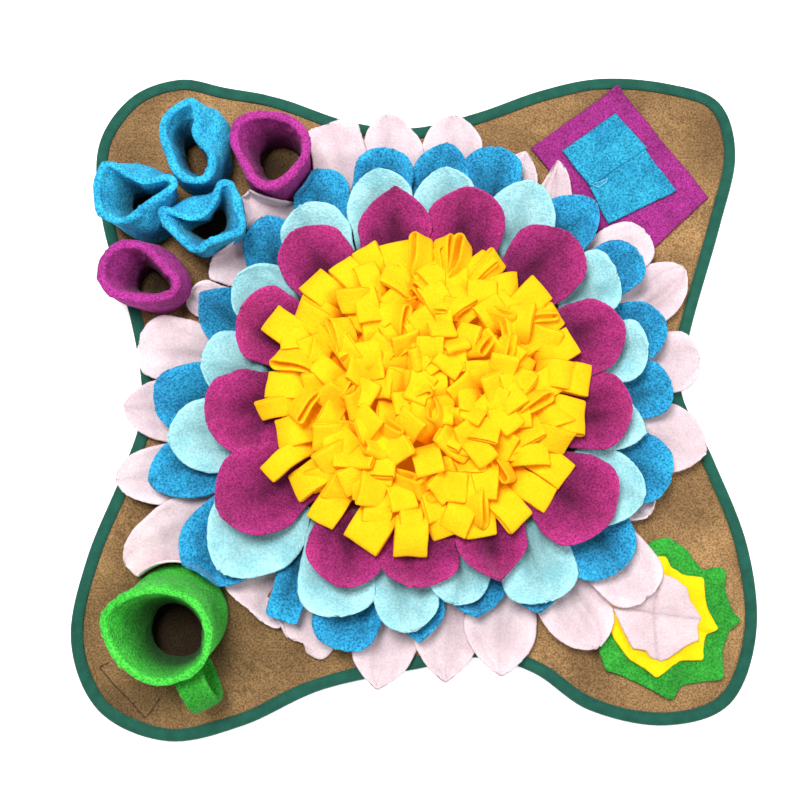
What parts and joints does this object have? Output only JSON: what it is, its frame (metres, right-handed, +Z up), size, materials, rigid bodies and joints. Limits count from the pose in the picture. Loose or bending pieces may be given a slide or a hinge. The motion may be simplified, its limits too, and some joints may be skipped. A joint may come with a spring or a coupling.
{
  "type": "snuffle mat",
  "caption": "Flat fleece foraging mat with four round lobes, a layered petal flower with folded loops in its middle, and soft cups, a soft mug, flaps and a stacked star on its corners.",
  "frame": {"origin": "middle of the mat as seen from above, on the floor plane", "axes": "+Z up, +Y towards the side with the cups and the patch, +X towards the side with the patch and the star"},
  "size_m": [0.601, 0.604, 0.076],
  "materials": {
    "mat_base": "brown fleece with a short nap",
    "edge_binding": "twill tape",
    "pink_fleece": "pale pink fleece",
    "blue_fleece": "blue fleece with a pebbled pile",
    "aqua_fleece": "pale aqua fleece",
    "purple_fleece": "red-purple fleece",
    "yellow_fleece": "smooth yellow fleece",
    "bright_blue_fleece": "bright blue fleece with a pebbled pile",
    "magenta_fleece": "magenta-purple fleece with a pebbled pile",
    "green_fleece": "green fleece with a pebbled pile"
  },
  "bodies": {
    "root": {"mat_base": "mat_base", "edge_binding": "edge_binding", "petals_pink": "pink_fleece", "petals_blue": "blue_fleece", "petals_aqua": "aqua_fleece", "petals_purple": "purple_fleece", "yellow_loops": "yellow_fleece", "blue_cup_1": "bright_blue_fleece", "blue_cup_2": "bright_blue_fleece", "blue_cup_3": "bright_blue_fleece", "purple_cup_1": "magenta_fleece", "purple_cup_2": "magenta_fleece", "green_mug": "green_fleece", "green_mug_handle": "green_fleece", "purple_patch": "magenta_fleece", "blue_flap_1": "bright_blue_fleece", "blue_flap_2": "bright_blue_fleece", "star_green": "green_fleece", "star_yellow": "yellow_fleece", "star_pink": "pink_fleece"}
  },
  "joints": []
}
